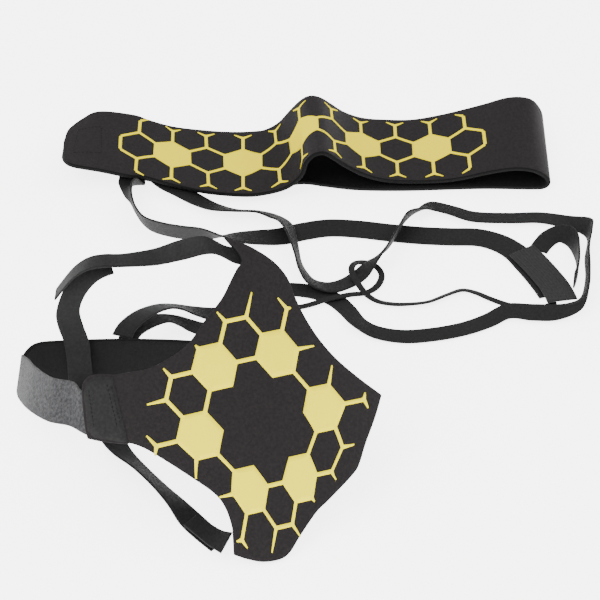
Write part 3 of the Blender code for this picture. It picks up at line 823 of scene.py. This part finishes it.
anchor_seam = seam("belt_anchor_seam", on_strip(anchor_surface, ANCHOR_WEB, ANCHOR_RUN),
                   [[(2, -12), (50, -12), (50, 12), (2, 12), (2, -12), (50, 12)], [(2, 12), (50, -12)]],
                   WEB_THICK / 2 + 0.02)
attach(anchor_seam, "kit")


# ---------------------------------------------------------------- holder panel

def panel_ring():
    """The cut of the panel and its closing tab in one piece."""
    first = PANEL_OUTLINE.index((-103, 7))
    points = PANEL_OUTLINE[:first + 1] + HOLDER_TAB_EDGE + PANEL_OUTLINE[first + 1:]
    sharp = {points.index(p) for p in ((109, 1), (-44, -98), (12, 126), (9, 154))}
    return smooth_ring(points, sharp)


PANEL_CUT = panel_ring()
panel = patch("holder_panel", [PANEL_CUT], 4.5, panel_point, 0.0, PANEL_THICK, [NEOPRENE, EDGE, LINING],
              rim=1, under=2)
edge_round = panel.modifiers.new("edge", "BEVEL")
edge_round.width = 0.9 * MM
edge_round.segments = 3
edge_round.limit_method = "ANGLE"
edge_round.angle_limit = math.radians(50)
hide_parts("front_panel", "holder_closing_tab")

RING = 18.7                   # side of a cell of the panel's print
PANEL_LINE = 3.2


def panel_print_point(a, b, height):
    """The print's flat lattice, pulled in where the cut panel wraps under."""
    low = min(1.0, max(0.0, -b / 51.0))
    pull = 0.935 - 0.205 * low ** 1.3
    shift = 2.5 * max(0.0, 1.0 - abs(b) / 50.0)
    return panel_point(a * pull + shift, b * 1.05, height)


def ring_point(k, distance, turn=0.0):
    w = math.radians(60 * k + turn)
    return Vector((math.cos(w), math.sin(w))) * distance


def panel_print():
    shapes = []
    bright = [ring_point(k, 3 * RING) for k in range(6)]
    dark = {k: ring_point(k, 2 * math.sqrt(3) * RING, 30) for k in range(6)}

    def corner(centre, j):
        return centre + ring_point(j, RING)

    for c in bright:
        shapes.append(hexagon(c, RING + PANEL_LINE / 2 / math.cos(math.pi / 6), 0.0))
    for k in range(6):
        c = dark[k]
        inner = [(j, (j + 1) % 6) for j in range(6)]
        if k in (0, 3):
            # Cut short at the panel's edge: only the side nearest the middle.
            inner = [((k + 3) % 6, (k + 4) % 6)]
        for i, j in inner:
            shapes.append(bar(corner(c, i), corner(c, j), PANEL_LINE))

    def spoke(centre, j, turn, length, arms=()):
        start = corner(centre, j)
        end = start + ring_point(0, length, turn)
        shapes.append(bar(start, end, PANEL_LINE, taper_b=not arms))
        for side, size in arms:
            tip = end + ring_point(0, size, turn + side)
            shapes.append(bar(end, tip, PANEL_LINE, taper_b=True))

    spoke(bright[1], 1, 60, 19, ((60, 11), (-60, 4)))
    spoke(bright[1], 0, 0, 16)
    spoke(dark[1], 1, 60, 21)
    spoke(dark[1], 2, 120, 10)
    spoke(bright[2], 2, 120, 4)
    spoke(dark[2], 2, 120, 9)
    spoke(dark[2], 3, 180, 16)
    spoke(bright[3], 3, 180, 18, ((-60, 11), (60, 8)))
    spoke(bright[3], 4, 240, 17)
    spoke(bright[4], 3, 180, 15)
    spoke(bright[4], 4, 240, 22, ((-60, 6), (60, 8)))
    spoke(dark[4], 4, 240, 20)
    spoke(dark[4], 5, 300, 12)
    spoke(bright[5], 5, 300, 4)
    spoke(dark[5], 5, 300, 8)
    spoke(dark[5], 0, 0, 13)
    spoke(bright[0], 0, 0, 20, ((60, 6), (-60, 8)))
    spoke(bright[0], 1, 60, 17)
    return shapes


panel_ink = patch("holder_print", panel_print(), 4.5, panel_print_point, INK_LIFT, INK_THICK,
                  [PRINT_PANEL])
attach(panel_ink, "kit")

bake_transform(panel)

tab_face = patch("holder_tab_face", [[(-104.5, 8.5), (-109, 9.5), (-128.6, 18.4), (-132.2, 25), (-128.6, 56),
                                      (-124, 64.2), (-117, 66.2),
                                      (-104.5, 62.6)]], 5.0, panel_point, 0.3, 0.5,
                 [TAB_FACE])
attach(tab_face, "holder_tab")
tab_seam = seam("holder_tab_seam", panel_point,
                [[(-107, 24), (-107, 56)], [(-110, 23), (-110, 58)], [(-127, 27), (-124.5, 57)]], 0.32)
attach(tab_seam, "holder_tab")
tab_hook = patch("holder_hook_patch", [square(-127, 26, -107, 58, 3)], 5.0, panel_point,
                 -PANEL_THICK - 0.05, PATCH_THICK, [HOOK])
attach(tab_hook, "holder_tab")
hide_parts("holder_hook_patch")


# ---------------------------------------------------------------- straps and band

def simple_strip(name, near, far, thick, width, per_span, mats, body, slot, radius=0.85, steps=8, **more):
    surface = lofted(near, far)
    obj = swept(name, surface, thick, width, (len(near) - 1) * per_span, steps, radius, mats, **more)
    if body is not None:
        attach(obj, body)
    return obj


band = simple_strip("back_band", BAND_LOW, BAND_TOP, BAND_THICK, 40.0, 14,
                                  [LINING, EDGE, NEOPRENE], "kit", "neoprene", 1.2, 12, rim=1, under=2)
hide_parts("back_band")


def fuzz(u, v):
    p = Vector((u * 90, v * 22, 0.0))
    return 0.35 * noise.noise(p) + 0.25 * noise.noise(p * 2.7)


adjuster = simple_strip("adjuster_strap", ADJUSTER_LOW, ADJUSTER_TOP, WEB_THICK, 39.0, 30,
                                          [FUZZ], "kit", "loop_fabric", 0.8, 44, shape=fuzz)
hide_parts("adjuster_strap")

low_right, low_left = rolled(LOW_RUN, STRAP_WEB)
meridian = simple_strip("meridian_strap", low_right + RISE_RIGHT, low_left + RISE_LEFT,
                                          WEB_THICK, STRAP_WEB, 10, [WEBBING], "kit", "webbing")
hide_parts("meridian_strap")

JOIN_NEAR = (-146.8, -116, 137)
JOIN_FAR = (-146.8, -97, 135)
top_piece = simple_strip("top_strap", TOP_NEAR[:-1] + [JOIN_NEAR] + TOP_END_NEAR[1:],
                                      TOP_FAR[:-1] + [JOIN_FAR] + TOP_END_FAR[1:], WEB_THICK, 18.0, 12,
                                      [WEBBING], None, "webbing")
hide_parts("top_strap", "top_strap_end")
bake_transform(top_piece)

end_surface = lofted(TOP_END_NEAR, TOP_END_FAR)
under = WEB_THICK / 2 + 0.05 + PATCH_THICK / 2
top_hook = swept("top_hook_patch", lambda u, v, h: end_surface(u, 0.1 + 0.8 * v, under + h),
                 PATCH_THICK, 15.0, 24, 6, 0.4, [HOOK], span=(0.06, 0.34))
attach(top_hook, "top_end")
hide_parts("top_hook_patch")

low_tab = simple_strip("lower_tab", LOW_TAB_OUTER, LOW_TAB_INNER, WEB_THICK, 17.0, 14, [WEBBING],
                       "lower_end", "webbing")
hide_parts("lower_tab")
low_tab_surface = lofted(LOW_TAB_OUTER, LOW_TAB_INNER)
low_hook = swept("lower_hook_patch", lambda u, v, h: low_tab_surface(u, 0.1 + 0.8 * v, under + h),
                 PATCH_THICK, 14.0, 24, 6, 0.4, [HOOK], span=(0.35, 0.97))
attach(low_hook, "lower_end")
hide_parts("lower_hook_patch")

# ---------------------------------------------------------------- floor and light

floor_mesh = bpy.data.meshes.new("floor")
FLOOR_HALF = 8.0              # metres
FLOOR_DROP = -0.0004          # just under the lowest piece
floor_corners = [(-FLOOR_HALF, -FLOOR_HALF, FLOOR_DROP), (FLOOR_HALF, -FLOOR_HALF, FLOOR_DROP),
                 (FLOOR_HALF, FLOOR_HALF, FLOOR_DROP), (-FLOOR_HALF, FLOOR_HALF, FLOOR_DROP)]
floor_mesh.from_pydata(floor_corners, [], [(0, 1, 2, 3)])
floor_mat = bpy.data.materials.new("floor")
floor_mat.use_nodes = True
floor_shader = floor_mat.node_tree.nodes["Principled BSDF"]
floor_shader.inputs["Base Color"].default_value = (0.93, 0.93, 0.93, 1.0)
floor_shader.inputs["Roughness"].default_value = 0.9
floor_shader.inputs["Emission Color"].default_value = (1.0, 1.0, 1.0, 1.0)
floor_shader.inputs["Emission Strength"].default_value = 4.0
floor = new_piece("floor", floor_mesh, floor_mat)

world = bpy.data.worlds.new("studio")
bpy.context.scene.world = world
world.use_nodes = True
world.node_tree.nodes["Background"].inputs["Color"].default_value = (1.0, 1.0, 1.0, 1.0)
world.node_tree.nodes["Background"].inputs["Strength"].default_value = 1.7


def softbox(name, place, size, watts):
    data = bpy.data.lights.new(name, "AREA")
    data.shape = "SQUARE"
    data.size = size
    data.energy = watts
    light = bpy.data.objects.new(name, data)
    light.location = place
    light.rotation_euler = (Vector((0, 0, 0)) - Vector(place)).to_track_quat("-Z", "Y").to_euler()
    bpy.context.scene.collection.objects.link(light)


softbox("key", (-1.4, -0.9, 2.2), 1.6, 45)
softbox("fill", (1.8, 0.6, 1.8), 1.8, 20)
